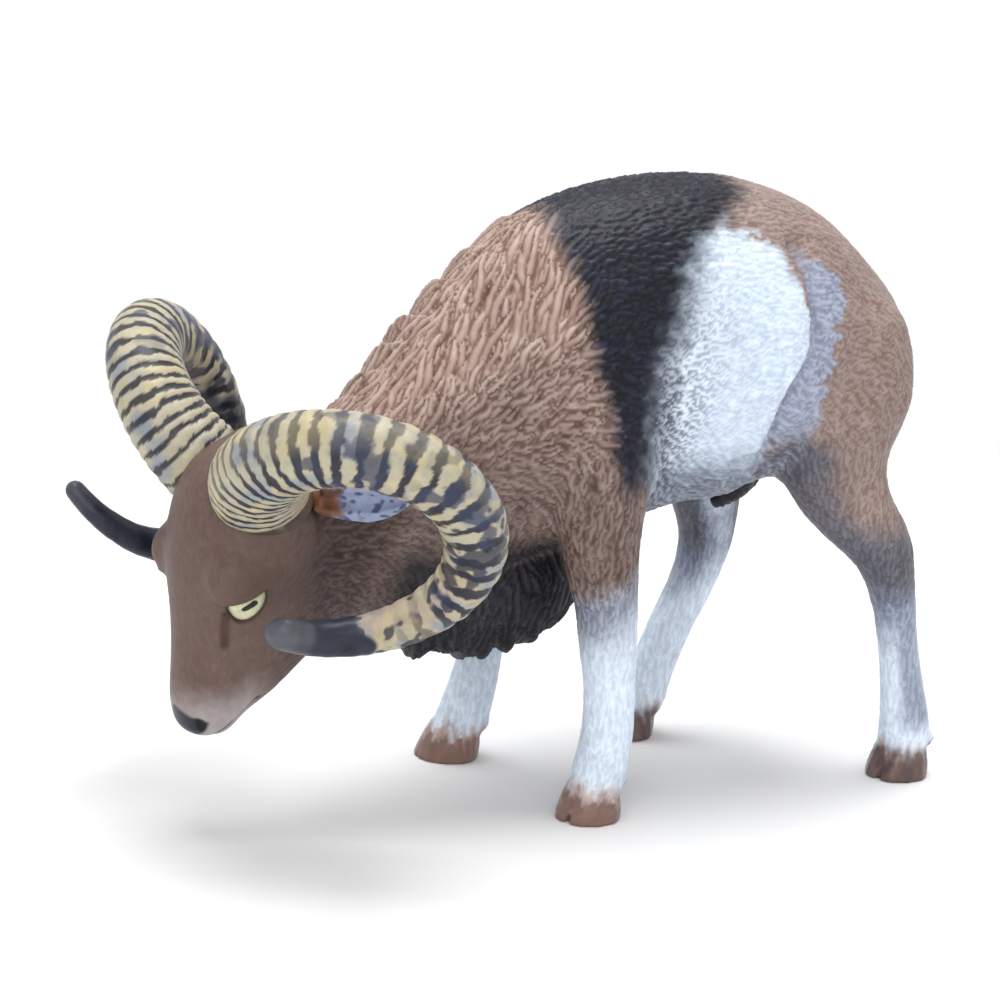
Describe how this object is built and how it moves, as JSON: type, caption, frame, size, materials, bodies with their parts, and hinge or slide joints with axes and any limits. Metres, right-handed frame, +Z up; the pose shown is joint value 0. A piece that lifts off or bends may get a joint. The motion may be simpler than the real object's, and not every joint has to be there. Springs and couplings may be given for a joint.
{
  "type": "toy mouflon figure",
  "caption": "Rigid toy figure of a grazing mouflon ram with lowered head, curled ribbed horns, shaggy throat ruff and a saddle-marked coat, standing on cloven hooves.",
  "frame": {"origin": "middle of the bounding box at the ground, under the hooves", "axes": "-X the way the ram looks, -Y its left side, +Z up"},
  "size_m": [0.0962, 0.0584, 0.0682],
  "materials": {
    "coat": "painted PVC with sculpted fur",
    "horn": "painted PVC with ribs and dark stripes",
    "ear": "painted PVC",
    "white_leg": "painted PVC, brown at the top and white below",
    "dark_hair": "painted PVC with hanging locks"
  },
  "bodies": {
    "root": {"trunk": "coat", "head": "coat", "tail": "coat", "horn_left": "horn", "horn_right": "horn", "ear_left": "ear", "ear_right": "ear", "leg_front_left": "white_leg", "leg_front_right": "white_leg", "leg_hind_left": "white_leg", "leg_hind_right": "white_leg", "throat_ruff": "dark_hair", "belly_tuft": "dark_hair"}
  },
  "joints": []
}
